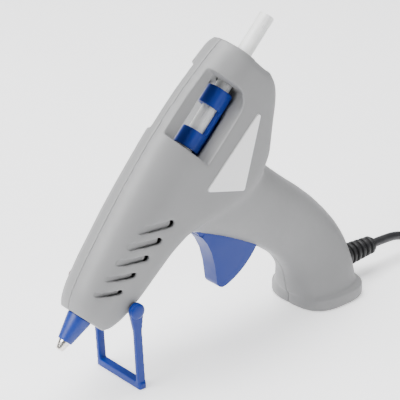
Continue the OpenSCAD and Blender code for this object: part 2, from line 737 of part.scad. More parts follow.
module cord_tail() {
    color("black") swept_tube(smooth_route(tail_route, 20), cord_d / 2, 12);
}

module plug_body() {
    color("black") translate(plug_at) rotate([0, 90, 0]) {
        cylinder(r1 = 4.6, r2 = 6, h = 14);
        translate([0, 0, 14]) linear_extrude(22) hull()
            for (y = [-11, 11]) translate([0, y]) circle(6.6, $fn = 32);
    }
}

module plug_pins() {
    color("silver") translate(plug_at) for (y = [-9.3, 9.3]) translate([36, y, 0]) rotate([0, 90, 0]) {
        cylinder(r = 2, h = 18);
        translate([0, 0, 18]) cylinder(r1 = 2, r2 = 1, h = 1);
    }
}

left_shell();
right_shell();
shell_screws();
left_label();
right_label();
pilot_lamp();
nozzle_tip();
check_ball();
ball_spring();
nozzle_boot();
heat_chamber();
ptc_heater();
heater_wedge();
front_mount();
rear_mount();
feed_sleeve();
sleeve_clamp();
inlet_guide();
carriage();
clamp_jaw();
jaw_pin();
trigger();
trigger_pin();
return_spring();
spring_post();
stand();
glue_stick();
strain_relief();
cord_clamp();
clamp_screws();
terminal_block();
live_wire();
neutral_wire();
cord_end();
core_wires();
cord_lead();
cord_coil();
coil_tie();
cord_tail();
plug_body();
plug_pins();
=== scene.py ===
import json
import math

import bmesh
import bpy
from mathutils import Matrix, Vector


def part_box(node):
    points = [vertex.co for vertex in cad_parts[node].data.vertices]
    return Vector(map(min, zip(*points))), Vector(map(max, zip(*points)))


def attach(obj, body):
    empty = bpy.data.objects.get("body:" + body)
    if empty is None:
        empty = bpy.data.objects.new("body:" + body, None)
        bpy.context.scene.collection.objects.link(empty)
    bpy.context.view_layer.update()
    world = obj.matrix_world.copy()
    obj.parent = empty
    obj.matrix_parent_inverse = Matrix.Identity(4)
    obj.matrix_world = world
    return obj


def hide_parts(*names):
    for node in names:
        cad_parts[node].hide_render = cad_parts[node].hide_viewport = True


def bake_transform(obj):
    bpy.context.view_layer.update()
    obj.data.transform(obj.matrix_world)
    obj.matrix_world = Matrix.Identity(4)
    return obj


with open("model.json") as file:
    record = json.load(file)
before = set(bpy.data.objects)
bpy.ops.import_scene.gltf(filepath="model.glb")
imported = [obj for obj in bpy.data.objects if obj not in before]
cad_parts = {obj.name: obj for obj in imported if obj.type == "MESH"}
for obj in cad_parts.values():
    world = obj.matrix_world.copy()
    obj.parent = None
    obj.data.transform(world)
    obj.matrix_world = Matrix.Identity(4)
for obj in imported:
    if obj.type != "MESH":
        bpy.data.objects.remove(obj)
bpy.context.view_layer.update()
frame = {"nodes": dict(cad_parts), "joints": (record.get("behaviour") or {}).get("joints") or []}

# ---- Camera, floor and light ----
# The gun is seen from its left front and a little above, on a plain pale floor that curves up
# behind it, with large soft lights to the left, in front and overhead.
MM = 0.001
view_turn = math.radians(41)
view_tilt = math.radians(26)
sharp_above = math.radians(32)  # edges with a greater angle stay crisp
camera = bpy.data.objects.new("camera", bpy.data.cameras.new("camera"))
bpy.context.scene.collection.objects.link(camera)
camera.data.lens = 180
camera.data.sensor_width = 36
camera.data.clip_start = 0.05
camera.data.clip_end = 20
camera.location = (-0.9325, -0.9391, 0.7197)
camera.rotation_euler = (math.pi / 2 - view_tilt, 0, -view_turn)
bpy.context.scene.camera = camera


def piece(name, mesh, body, finish=None, replaces=()):
    """Puts a finished bmesh into the scene as one smooth-shaded piece that moves with a body. None
    is for the studio, and "loose" leaves a piece, such as one that spans two bodies, attached to
    none."""
    bmesh.ops.recalc_face_normals(mesh, faces=mesh.faces)
    data = bpy.data.meshes.new(name)
    mesh.to_mesh(data)
    mesh.free()
    made = bpy.data.objects.new(name, data)
    bpy.context.scene.collection.objects.link(made)
    data.shade_smooth()
    data.set_sharp_from_angle(angle=sharp_above)
    if finish is not None:
        data.materials.append(finish)
    if body is None:
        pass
    elif body != "loose":
        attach(made, body)
    if replaces:
        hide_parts(*replaces)
    return made


class Value:
    """One socket of a finish. A product of it adds a Math node."""

    def __init__(self, finish, socket):
        self.finish = finish
        self.socket = socket

    def __mul__(self, other):
        return self.finish.node("ShaderNodeMath", {"operation": "MULTIPLY"}, {0: self, 1: other})


class Finish:
    """A material with one Principled shader, whose nodes are made through node()."""

    def __init__(self, name):
        self.material = bpy.data.materials.new(name)
        self.material.use_nodes = True
        self.tree = self.material.node_tree
        self.tree.nodes.clear()
        self.shader = self.tree.nodes.new("ShaderNodeBsdfPrincipled")
        output = self.tree.nodes.new("ShaderNodeOutputMaterial")
        self.tree.links.new(self.shader.outputs[0], output.inputs["Surface"])
        place = self.tree.nodes.new("ShaderNodeTexCoord")
        self.place = Value(self, place.outputs["Object"])

    def fill(self, target, value):
        if isinstance(value, Value):
            self.tree.links.new(value.socket, target)
        else:
            target.default_value = value

    def node(self, kind, settings, sockets, output=0):
        made = self.tree.nodes.new(kind)
        for name, value in settings.items():
            if name == "stops":
                ramp = made.color_ramp.elements
                while len(ramp) < len(value):
                    ramp.new(0.5)
                for stop, (position, colour) in zip(ramp, value):
                    stop.position = position
                    stop.color = (*colour, 1)
            else:
                setattr(made, name, value)
        for name, value in sockets.items():
            self.fill(made.inputs[name], value)
        return Value(self, made.outputs[output])

    def noise(self, size, detail=3, roughness=0.5, place=None):
        """Cloudy noise from 0 to 1 whose lumps are about size metres across."""
        return self.node("ShaderNodeTexNoise", {},
                         {"Vector": place or self.place, "Scale": 1 / size, "Detail": detail,
                          "Roughness": roughness})

    def spread(self, value, low, high, start=0.3, stop=0.7):
        """value from start to stop, spread evenly from low to high."""
        return self.node("ShaderNodeMapRange", {},
                         {"Value": value, "From Min": start, "From Max": stop, "To Min": low,
                          "To Max": high})

    def mix(self, share, first, second):
        """A colour between two others."""
        return self.node("ShaderNodeMix", {"data_type": "RGBA"}, {0: share, 6: first, 7: second}, 2)

    def stretched(self, scale, turn=(0, 0, 0)):
        """The object's coordinates turned, then drawn out by scale along each axis."""
        return self.node("ShaderNodeMapping", {"vector_type": "TEXTURE"},
                         {"Vector": self.place, "Rotation": turn, "Scale": scale})

    def bump(self, height, depth, strength):
        """A bump of height 0 to 1 that stands depth metres proud."""
        return self.node("ShaderNodeBump", {},
                         {"Height": height, "Distance": depth, "Strength": strength})

    def wear(self, **sockets):
        """Sets the shader's sockets, named with underscores for spaces."""
        for name, value in sockets.items():
            self.fill(self.shader.inputs[name.replace("_", " ")], value)
        return self.material


def shade(colour, change):
    """A colour made lighter or darker, with its alpha."""
    return (*[min(1, c * change) for c in colour], 1)


def studio_floor():
    """A pale, faintly cloudy sweep that gives off some light of its own."""
    finish = Finish("studio_floor")
    cloud = finish.spread(finish.noise(0.35), 0.0, 1.0)
    return finish.wear(Base_Color=finish.mix(cloud, (0.87, 0.87, 0.88, 1), (0.90, 0.90, 0.91, 1)),
                       Roughness=finish.spread(finish.noise(0.02), 0.42, 0.5),
                       Emission_Color=(1, 1, 1, 1), Emission_Strength=0.75)


floor_half_width = 5
floor_front = -3.0
floor_back = 3.2
bend_radius = 1.4
sweep = bmesh.new()
start = [sweep.verts.new((x, floor_front, 0)) for x in (-floor_half_width, floor_half_width)]
strip = [sweep.edges.new(start)]
flat = bmesh.ops.extrude_edge_only(sweep, edges=strip)["geom"]
bmesh.ops.translate(sweep, vec=(0, floor_back - floor_front, 0),
                    verts=[v for v in flat if isinstance(v, bmesh.types.BMVert)])
bmesh.ops.spin(sweep, geom=[e for e in flat if isinstance(e, bmesh.types.BMEdge)],
               angle=math.pi / 2, steps=16, axis=(1, 0, 0), cent=(0, floor_back, bend_radius))
sweep.transform(Matrix.Rotation(-view_turn, 4, "Z"))
piece("studio_floor", sweep, None, studio_floor())


light_target = Vector((-0.08, 0, 0.1))


def soft_light(name, place, size, power):
    light = bpy.data.objects.new(name, bpy.data.lights.new(name, "AREA"))
    bpy.context.scene.collection.objects.link(light)
    light.data.shape = "RECTANGLE"
    light.data.size, light.data.size_y = size
    light.data.energy = power
    light.location = place
    light.rotation_euler = (light_target - Vector(place)).to_track_quat("-Z", "Y").to_euler()


soft_light("left_softbox", (-1.3, 0.2, 1.1), (1.0, 1.0), 42)
soft_light("front_softbox", (0.1, -1.7, 0.9), (1.2, 0.9), 12)
soft_light("overhead_softbox", (-0.1, 0.4, 1.9), (1.8, 1.4), 78)
world = bpy.data.worlds.new("studio_air")
world.use_nodes = True
world.node_tree.nodes["Background"].inputs["Color"].default_value = (0.95, 0.97, 1.0, 1)
world.node_tree.nodes["Background"].inputs["Strength"].default_value = 0.22
bpy.context.scene.world = world

# ---- Mains cord ----
# About 1.4 metres of round two-core lead in black rubber. It leaves the strain relief, drops to the
# floor and is wound into a coil of three layers, from whose top it rises to the plug.
cord_d = 6.8 * MM
cord_route = [(58, 0, 20), (68, 0, 19.8), (76, 0, 19.4), (84, 0, 18.4), (92, 0, 15.6),
              (100, 0, 11.9), (108, 0, 8.1), (116, 0.6, 5.3), (124, 2.8, 4.3), (131, 6.4, 4.3),
              (138, 12, 4.3), (145, 17.3, 4.25), (152.6, 21.1, 4.25), (160, 23.2, 4.25)]
coil_centre = (168, -18)
coil_outer = 41.7
coil_inner = 27.3
turns_a_layer = 2
climb_turns = 0.25
layer_z = (4.25, 11.15, 18.05)
points_a_turn = 24
top_layer = len(layer_z) - 1
all_turns = turns_a_layer * len(layer_z)
rise_from = 5.5
plug_z = 28.4


def between(first, last, share):
    """From first to last, starting and ending gently as share runs from 0 to 1."""
    return first + (last - first) * (1 - math.cos(math.pi * min(1, max(0, share)))) / 2


def coil_point(turns):
    """A point on the wound cord. Odd layers wind inwards and the middle one outwards."""
    layer = min(int(turns / turns_a_layer), top_layer)
    into = turns - turns_a_layer * layer
    climbed = climb_turns if layer else 0
    share = max(0, (into - climbed) / (turns_a_layer - climbed))
    start, stop = (coil_inner, coil_outer) if layer == 1 else (coil_outer, coil_inner)
    radius = start + (stop - start) * share
    height = between(layer_z[max(layer - 1, 0)], layer_z[layer], into / climb_turns)
    if turns > rise_from:
        height = between(layer_z[top_layer], plug_z, (turns - rise_from) / (all_turns - rise_from))
    angle = 2 * math.pi * turns
    return (coil_centre[0] + radius * math.sin(angle), coil_centre[1] + radius * math.cos(angle),
            height)


wound = [coil_point(i / points_a_turn) for i in range(all_turns * points_a_turn + 1)]
whole_route = cord_route + wound
curve = bpy.data.curves.new("mains_cord", "CURVE")
curve.dimensions = "3D"
curve.bevel_depth = cord_d / 2
curve.bevel_resolution = 5
curve.resolution_u = 4
curve.use_fill_caps = True
spline = curve.splines.new("NURBS")
spline.points.add(len(whole_route) - 1)
for point, (x, y, z) in zip(spline.points, whole_route):
    point.co = (x * MM, y * MM, z * MM, 1)
spline.order_u = 4
spline.use_endpoint_u = True
cord = bpy.data.objects.new("mains_cord", curve)
bpy.context.scene.collection.objects.link(cord)


def soft_rubber(name, colour):
    """Satin black rubber with a pale bloom in places."""
    finish = Finish(name)
    bloom = finish.spread(finish.noise(0.012), 0, 1)
    grain = finish.noise(0.0004, 2)
    return finish.wear(Base_Color=finish.mix(bloom, shade(colour, 0.8), shade(colour, 1.35)),
                       Roughness=finish.spread(finish.noise(0.003), 0.38, 0.52),
                       Normal=finish.bump(grain, 0.00004, 0.6), Specular_IOR_Level=0.45)


cord_black = soft_rubber("cord_rubber", (0.016, 0.016, 0.018))
curve.materials.append(cord_black)
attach(cord, "body")
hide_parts("cord_lead", "cord_coil", "cord_tail")

# ---- Two shells ----
# The left and right halves of the body, injection moulded in grey plastic with a fine matt surface.
# Six screws from the right hold them together, and a line shows where they meet.
def grain_plastic(name, colour, gloss, grain, depth, rub=0.3, shine=0.5):
    """Moulded plastic with a grain so many metres wide and deep, rubbed lighter in places."""
    finish = Finish(name)
    cloud = finish.spread(finish.noise(0.045, 4), 0, 1)
    pits = finish.noise(grain, 2, 0.6)
    coarse = finish.noise(grain * 7, 3)
    tone = finish.mix(cloud, shade(colour, 0.965), shade(colour, 1.035))
    rubbed = finish.spread(finish.noise(0.011, 5, 0.7), 0, 1, 0.55, 0.8)
    return finish.wear(Base_Color=finish.mix(rubbed * rub, tone, shade(colour, 1.12)),
                       Specular_IOR_Level=shine,
                       Roughness=finish.spread(coarse, gloss - 0.05, gloss + 0.06),
                       Normal=finish.bump(pits, depth, 0.7))


crease = math.radians(24)  # the skin keeps its place at sharper folds than this


def cad_copy(node):
    """The node's own mesh as one joined bmesh."""
    mesh = bmesh.new()
    mesh.from_mesh(frame["nodes"][node].data)
    bmesh.ops.remove_doubles(mesh, verts=mesh.verts, dist=1e-6)
    return mesh


def moulded(mesh, cell, skin_rounds, edge_rounds):
    """Turns a solid into an even skin of cells, as from a mould: curved faces become smooth and
    edges take a small radius."""
    data = bpy.data.meshes.new("blank")
    mesh.to_mesh(data)
    mesh.free()
    blank = bpy.data.objects.new("blank", data)
    bpy.context.scene.collection.objects.link(blank)
    cells = blank.modifiers.new("cells", "REMESH")
    cells.mode = "VOXEL"
    cells.voxel_size = cell
    depsgraph = bpy.context.evaluated_depsgraph_get()
    skin = bmesh.new()
    skin.from_object(blank, depsgraph)
    bpy.data.objects.remove(blank)
    bpy.data.meshes.remove(data)
    sharp = {v for e in skin.edges if e.calc_face_angle(0) > crease for v in e.verts}
    gentle = [v for v in skin.verts if v not in sharp]
    for verts, rounds in ((gentle, skin_rounds), (skin.verts[:], edge_rounds)):
        for _ in range(rounds):
            bmesh.ops.smooth_vert(skin, verts=verts, factor=0.5, use_axis_x=True, use_axis_y=True,
                                  use_axis_z=True)
    return skin


shell_cell = 0.95 * MM
shell_skin_rounds = 40
shell_edge_rounds = 3
shell_grey = grain_plastic("shell_grey", (0.20, 0.201, 0.203), 0.47, 0.0006, 0.00006)
for side in ("left", "right"):
    skin = moulded(cad_copy(side + "_shell"), shell_cell, shell_skin_rounds, shell_edge_rounds)
    piece(side + "_shell_skin", skin, "body", shell_grey, [side + "_shell"])

# ---- Labels ----
# A thin three-cornered plate with soft corners is sunk into either flank. Both are blank, satin
# white, with a thin dark ring of painted shade round the edge, for the shadow in the recess.
joints = {joint["name"]: joint for joint in frame["joints"]}
barrel_axis = Vector(joints["stick_slide"]["axis"]).normalized()
stick_low, stick_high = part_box("glue_stick")
stick_mid_s = 168 * MM
nozzle_end = (stick_low + stick_high) / 2 - barrel_axis * stick_mid_s
barrel_lean = math.acos(barrel_axis.z)
barrel = Matrix.Translation(nozzle_end) @ Matrix.Rotation(barrel_lean, 4, "Y")


def arc(centre, radius, start, end, steps):
    """Points on an arc, in degrees, both ends included."""
    turns = [math.radians(start + (end - start) * i / steps) for i in range(steps + 1)]
    return [(centre[0] + radius * math.cos(a), centre[1] + radius * math.sin(a)) for a in turns]


def plate(mesh, outline, low, high):
    """A flat plate whose outline is (x, z) in millimetres, from y = low to high. Returns its two
    broad faces."""
    face = mesh.faces.new([mesh.verts.new((x * MM, low * MM, z * MM)) for x, z in outline])
    grown = bmesh.ops.extrude_face_region(mesh, geom=[face], use_keep_orig=True)["geom"]
    bmesh.ops.translate(mesh, vec=(0, (high - low) * MM, 0),
                        verts=[v for v in grown if isinstance(v, bmesh.types.BMVert)])
    return face, next(f for f in grown if isinstance(f, bmesh.types.BMFace))


def rounded(corners, radius, steps=6):
    """The outline of a polygon, given anticlockwise, whose corners are arcs of a radius."""
    points = []
    for i, corner in enumerate(corners):
        here = Vector(corner)
        before = (here - Vector(corners[i - 1])).normalized()
        after = (Vector(corners[(i + 1) % len(corners)]) - here).normalized()
        turn = math.atan2(before.cross(after), before.dot(after))
        centre = here + (after - before).normalized() * radius / math.cos(turn / 2)
        first = math.degrees(math.atan2(-before.x, before.y))
        points += arc(centre, radius, first, first + math.degrees(turn), steps)
    return points


def soften(mesh, width, segments=3, least=30):
    """Rounds every edge sharper than least degrees."""
    chosen = [e for e in mesh.edges if e.calc_face_angle(0) > math.radians(least)]
    bmesh.ops.bevel(mesh, geom=chosen, offset=width, offset_type="OFFSET", segments=segments,
                    profile=0.5, affect="EDGES", clamp_overlap=True, material=-1)


# places on the barrel are given as (d, s), in millimetres below its axis and along it
label_low, label_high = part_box("left_label")
label_corners = [(21, 213.5), (18, 142), (50.5, 159.5)]
label_corner_r = 2.2
label_sunk = 0.6
# painted shade: the width of the dark ring that stands for the shadow in the label's recess
label_shade_w = 0.35 * MM
flank = max(abs(label_low.y), abs(label_high.y)) / MM
label_white = grain_plastic("label_white", (0.80, 0.80, 0.80), 0.34, 0.0009, 0.00001)
# painted shade: a dark finish for the ring round each label, in place of the recess's shadow
label_groove_shade = grain_plastic("label_groove_shade", (0.10, 0.11, 0.13), 0.5, 0.0006, 0.00001)
for side, name in ((-1, "left_label"), (1, "right_label")):
    mesh = bmesh.new()
    faces = plate(mesh, rounded(label_corners, label_corner_r), side * (flank - label_sunk),
                  side * flank)
    # the narrow ring of faces inset round each broad face takes the painted shade
    line = bmesh.ops.inset_region(mesh, faces=list(faces), thickness=label_shade_w, depth=0)["faces"]
    for face in line:
        face.material_index = 1
    mesh.transform(barrel)
    label = piece(name + "_plate", mesh, "body", label_white, [name])
    label.data.materials.append(label_groove_shade)

# ---- Vent louvres ----
# Behind each vent slot a grey louvre slopes inwards, so that air can leave at the slot's rear end
# and nothing reaches the hot chamber. They are moulded with the shells.
skins = {-1: bpy.data.objects["left_shell_skin"], 1: bpy.data.objects["right_shell_skin"]}
vent_count = 5
vent_low = (-13, 43.5)
vent_low_pitch = 13
vent_high = (2, 54.5)
vent_high_step = (1.1, 14.2)
vent_r = 1.5
vent_r_step = 0.22
louvre_lap = 0.25
louvre_short = 2.2
louvre_half_t = 0.5
louvre_sunk = (0.9, 3.2)
rim_clear = 1.2
flank_outside = 0.1
flank_missed = 0.02


def join(mesh, part):
    """Adds a finished bmesh to another one."""
    held = bpy.data.meshes.new("held")
    part.to_mesh(held)
    part.free()
    mesh.from_mesh(held)
    bpy.data.meshes.remove(held)


def flank_at(side, place):
    """How far out the shell's surface lies at a place, in metres."""
    hit, where, _, _ = skins[side].ray_cast(Vector((place.x, side * flank_outside, place.z)),
                                            Vector((0, -side, 0)))
    return abs(where.y) if hit else flank_missed


def louvre(side, low_end, high_end, radius):
    """One louvre between two places on a flank, deeper at the second one."""
    run = high_end - low_end
    length = run.length / MM
    across = Vector((-run.z, 0, run.x)).normalized() * (radius + rim_clear) * MM
    outline = (arc((0, 0), radius, 90, 270, 10)
               + arc((length - louvre_short, 0), radius, 270, 450, 10))
    mesh = bmesh.new()
    plate(mesh, outline, -louvre_half_t, louvre_half_t)
    depths = [min(flank_at(side, end + across), flank_at(side, end - across)) - sunk * MM
              for end, sunk in zip((low_end, high_end), louvre_sunk)]
    for v in mesh.verts:
        share = v.co.x / (length * MM)
        v.co.y += side * (depths[0] + (depths[1] - depths[0]) * share)
    mesh.transform(Matrix.Translation((low_end.x, 0, low_end.z))
                   @ Matrix.Rotation(-math.atan2(run.z, run.x), 4, "Y"))
    return mesh


for side, name in ((-1, "left"), (1, "right")):
    mesh = bmesh.new()
    for i in range(vent_count):
        low_end = barrel @ (Vector((vent_low[0], 0, vent_low[1] + vent_low_pitch * i)) * MM)
        high_end = barrel @ (Vector((vent_high[0] + vent_high_step[0] * i, 0,
                                     vent_high[1] + vent_high_step[1] * i)) * MM)
        join(mesh, louvre(side, low_end, high_end, vent_r + vent_r_step * i + louvre_lap))
    piece(name + "_vent_louvres", mesh, "body", shell_grey)

# ---- Nozzle tip and boot ----
# The tip is turned and nickel plated and screws into the melting chamber. A soft blue silicone boot
# is pushed over it and is held by its flange behind the mouth of the shells.
def turned(mesh, outline, place, steps=72, closed=True):
    """Spins an outline of (radius, height) in millimetres round the z axis and sets it in place."""
    points = [mesh.verts.new((r * MM, 0, z * MM)) for r, z in outline]
    pairs = list(zip(points, points[1:])) + ([(points[-1], points[0])] if closed else [])
    edges = [mesh.edges.new(pair) for pair in pairs]
    bmesh.ops.spin(mesh, geom=points + edges, cent=(0, 0, 0), axis=(0, 0, 1), angle=2 * math.pi,
                   steps=steps, use_merge=True)
    bmesh.ops.remove_doubles(mesh, verts=mesh.verts, dist=1e-7)
    mesh.transform(place)


def metal(name, colour, gloss, streak=(1, 1, 1)):
    """Plated or ground metal, a little tarnished, with its surface drawn out by streak."""
    finish = Finish(name)
    brushed = finish.noise(0.0012, 3, 0.6, finish.stretched(streak))
    cloud = finish.spread(finish.noise(0.006, 4), 0, 1)
    return finish.wear(Base_Color=finish.mix(cloud, shade(colour, 0.85), shade(colour, 1.05)),
                       Metallic=1.0,
                       Roughness=finish.spread(brushed, gloss - 0.08, gloss + 0.1),
                       Normal=finish.bump(brushed, 0.00001, 0.5))


def silicone(name, colour, gloss=0.42):
    """Soft silicone with a faint bloom and a little light inside it."""
    finish = Finish(name)
    cloud = finish.spread(finish.noise(0.02, 3), 0, 1)
    return finish.wear(Base_Color=finish.mix(cloud, shade(colour, 0.88), shade(colour, 1.08)),
                       Roughness=finish.spread(finish.noise(0.004, 4), gloss - 0.05, gloss + 0.08),
                       Normal=finish.bump(finish.noise(0.0007, 2), 0.00002, 0.5),
                       Subsurface_Weight=0.06, Subsurface_Scale=0.002)


tip_metal = metal("tip_metal", (0.80, 0.77, 0.72), 0.22)
tip_outline = [(1.1, 0), (1.9, 0), (2.5, 0.25), (2.8, 0.8), (3.1, 2), (3.7, 4.6), (4.2, 6.9),
               (4.2, 19), (6.1, 19.1), (6.1, 24.1), (3.85, 24.2), (3.85, 33.9), (2.7, 33.9),
               (2.6, 12.4), (1.1, 11.6)]
mesh = bmesh.new()
turned(mesh, tip_outline, barrel)
piece("nozzle_tip_turned", mesh, "body", tip_metal, ["nozzle_tip"])

boot_blue = silicone("boot_blue", (0.0, 0.022, 0.21))
boot_outline = [(4.27, 7.3), (4.5, 7), (5.0, 7), (5.25, 7.3), (5.4, 8.2), (8.75, 24.9), (8.8, 25.6),
                (8.5, 25.9), (8.05, 26.1), (8.05, 29.85), (10.4, 29.85), (10.4, 32), (6.6, 32),
                (6.6, 24.3), (6.3, 24.2), (6.3, 18.95), (4.27, 18.9)]
mesh = bmesh.new()
turned(mesh, boot_outline, barrel, 96)
piece("nozzle_boot_sleeve", mesh, "body", boot_blue, ["nozzle_boot"])

# ---- Glue stick ----
# Hot melt glue in a standard round stick, cast in cloudy translucent white. Its rear end is sawn
# off square, with the edge slightly broken.
def cast_glue():
    """Cloudy glue that lets some light through, drawn out along the stick."""
    finish = Finish("cast_glue")
    cloud = finish.spread(finish.noise(0.008, 4), 0, 1)
    drawn = finish.noise(0.0016, 3, 0.6, finish.stretched((1, 1, 14), (0, barrel_lean, 0)))
    return finish.wear(Base_Color=finish.mix(cloud, (0.80, 0.81, 0.80, 1), (0.90, 0.90, 0.89, 1)),
                       Roughness=finish.spread(drawn, 0.24, 0.4),
                       Normal=finish.bump(drawn, 0.00003, 0.5), Subsurface_Weight=0.55,
                       Subsurface_Scale=0.004, Subsurface_Radius=(1.0, 1.0, 0.95),
                       Transmission_Weight=0.25, IOR=1.48)


stick_r = 5.6
front_s, rear_s = 68, 268
stick_outline = [(0, front_s), (4.6, front_s), (5.3, front_s + 0.4), (stick_r, front_s + 1.3),
                 (stick_r, rear_s - 0.5), (5.35, rear_s - 0.08), (4.9, rear_s), (0, rear_s)]
mesh = bmesh.new()
turned(mesh, stick_outline, barrel, 64, False)
piece("glue_stick_cast", mesh, "glue_stick", cast_glue(), ["glue_stick"])

# ---- Carriage ----
# A blue sleeve with an open middle slides on the stick behind the window. Two arms below it reach
# forward to the trigger, and a toothed steel jaw between them bites the stick.
blue_cell = 0.42 * MM
gloss_blue = grain_plastic("gloss_blue", (0.0, 0.020, 0.20), 0.36, 0.0011, 0.000008, rub=0,
                           shine=0.28)
skin = moulded(cad_copy("carriage"), blue_cell, skin_rounds=10, edge_rounds=2)
piece("carriage_sleeve", skin, "carriage", gloss_blue, ["carriage"])

# ---- Trigger ----
# A deep blue blade for two fingers with plain flanks and a round front edge. It swings on a steel
# pin and pulls the carriage through the arm above its hub.
pivot = Vector(joints["trigger_pull"]["pos_m"])
half_w = 7
blade_r = 57
front_round = 5.6 * MM
front_segments = 9
low_end = (16, -48.5)
low_r = blade_r - math.hypot(*low_end)
low_turn = math.degrees(math.atan2(low_end[1], low_end[0]))
corner_turn = -19.2
front_edge = [(-4, -9), (0.5, -15), (5, -24), (8, -35)]
low_arc = arc(low_end, low_r, -180, low_turn, 8)
rear_arc = arc((0, 0), blade_r, low_turn, corner_turn, 28)
blade_outline = front_edge + low_arc + rear_arc[1:] + [(7, 5)]
mesh = bmesh.new()
plate(mesh, blade_outline, -half_w, half_w)
front_count = len(front_edge) + len(low_arc) - 1
front_points = [Vector((x * MM, 0, z * MM)) for x, z in blade_outline[:front_count + 1]]


def on_front(edge):
    """True for the blade's side edges along its front and round its lower end."""
    ends = [Vector((v.co.x, 0, v.co.z)) for v in edge.verts]
    flat = abs(edge.verts[0].co.y - edge.verts[1].co.y) < 1e-6
    return flat and all(min((end - p).length for p in front_points) < 1e-5 for end in ends)


bmesh.ops.bevel(mesh, geom=[e for e in mesh.edges if on_front(e)], offset=front_round,
                offset_type="OFFSET", segments=front_segments, profile=0.5, affect="EDGES",
                clamp_overlap=True, material=-1)
soften(mesh, 0.9 * MM, least=50)
mesh.transform(Matrix.Translation(pivot))
piece("trigger_blade", mesh, "trigger", gloss_blue, ["trigger"])

# ---- Trigger arm ----
# The hub and the arm are one moulding with the blade. The arm's cross pin pulls on the fork at the
# front of the carriage's drawbar.
hub_r = 9
bore_r = 2.56
arm_len = 29.7
arm_half_w = 3.6
arm_half_t = 2.7
arm_root = hub_r * 0.7
pull = math.radians(joints["trigger_pull"]["range_deg"][1])
along_y = Matrix.Rotation(math.pi / 2, 4, "X")
upright = Matrix.Translation(pivot) @ along_y
mesh = bmesh.new()
turned(mesh, [(bore_r, -half_w), (hub_r, -half_w), (hub_r, half_w), (bore_r, half_w)], upright, 48)
soften(mesh, 0.6 * MM)
piece("trigger_hub", mesh, "trigger", gloss_blue)
# at rest the arm leans back from square to the barrel by half of the pull
arm_way = barrel.to_3x3() @ Vector((-math.cos(pull / 2), 0, math.sin(pull / 2)))
arm_angle = math.degrees(math.atan2(arm_way.z, arm_way.x))
arm_end = (arm_len * arm_way.x, arm_len * arm_way.z)
arm_start = (arm_root * arm_way.x, arm_root * arm_way.z)
arm_outline = (arc(arm_end, arm_half_w, arm_angle - 90, arm_angle + 90, 12)
               + arc(arm_start, arm_half_w, arm_angle + 90, arm_angle + 270, 4))
mesh = bmesh.new()
plate(mesh, arm_outline, -arm_half_t, arm_half_t)
soften(mesh, 0.5 * MM)
mesh.transform(Matrix.Translation(pivot))
piece("trigger_arm", mesh, "trigger", gloss_blue)
mesh = bmesh.new()
place = Matrix.Translation(pivot + arm_way * arm_len * MM) @ along_y
turned(mesh, [(0, -5.8), (1.6, -5.8), (2, -5.4), (2, 5.4), (1.6, 5.8), (0, 5.8)], place, 32, False)
piece("trigger_arm_pin", mesh, "trigger", gloss_blue)

# ---- Stand ----
# The folding stand is one blue moulding, a loop of two legs and a crossbar. Its eyes snap over the
# studs on the flanks and have domed caps.
skin = moulded(cad_copy("stand"), blue_cell, skin_rounds=8, edge_rounds=6)
piece("stand_loop", skin, "stand", gloss_blue, ["stand"])
stand_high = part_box("stand")[1]
eye = Vector(joints["stand_fold"]["pos_m"])
cap_sunk = 1.2 * MM
eye_face = (stand_high.y - cap_sunk) / MM
cap_outline = [(0, 0.05), (5.6, 0.05), (5.7, 0.5), (5.3, 1.2), (4.4, 1.75), (2.8, 2.1), (0, 2.25)]
mesh = bmesh.new()
for turn in (-math.pi / 2, math.pi / 2):
    cap = bmesh.new()
    turned(cap, cap_outline, Matrix.Translation(eye) @ Matrix.Rotation(turn, 4, "X")
           @ Matrix.Translation((0, 0, eye_face * MM)), 40, False)
    join(mesh, cap)
piece("stand_eye_caps", mesh, "stand", gloss_blue)

# ---- Strain relief ----
# A ribbed black rubber sleeve is moulded round the lead where it leaves the handle. It tapers
# towards its end and keeps the lead from kinking.
relief_z = 20 * MM
lead_bore = 3.45
along_x = Matrix.Rotation(math.pi / 2, 4, "Y")
relief_place = Matrix.Translation((0, 0, relief_z)) @ along_x
relief_outline = [(lead_bore, 19), (9.4, 19), (9.4, 21.3), (7.6, 21.4), (7.6, 31)]
rib_count = 5
rib_from = 32
rib_pitch = 5.2
for i in range(rib_count):
    rib_x = rib_from + rib_pitch * i
    crest = 8.4 - 0.35 * i
    root = 6.5 - 0.28 * i
    relief_outline += [(root, rib_x - 0.35), (root + 0.8, rib_x - 0.05), (crest - 0.5, rib_x + 0.1)]
    relief_outline += [(crest, rib_x + 0.7), (crest, rib_x + 2.1), (crest - 0.5, rib_x + 2.6),
                       (root + 0.6, rib_x + 2.9)]
relief_outline += [(5.9, 56.6), (5.4, 57.6), (4.6, 58), (lead_bore, 58)]
mesh = bmesh.new()
turned(mesh, relief_outline, relief_place, 72)
piece("strain_relief_sleeve", mesh, "body", soft_rubber("relief_rubber", (0.012, 0.012, 0.013)),
      ["strain_relief"])

# ---- Shell screws ----
# Six zinc plated pan head screws with a cross in a hollow of the head. Each goes in from the right
# flank through one shell's boss into the other's.
zinc = metal("zinc_plate", (0.62, 0.62, 0.63), 0.3)
screw_places = [barrel @ (Vector((d, 0, s)) * MM)
                for s, d in ((35.5, 17), (100, 24), (142, -24), (222, 23))]
screw_places += [Vector((-22, 0, 76)) * MM, Vector((-10, 0, 33)) * MM]
to_right = Matrix.Rotation(-math.pi / 2, 4, "X")


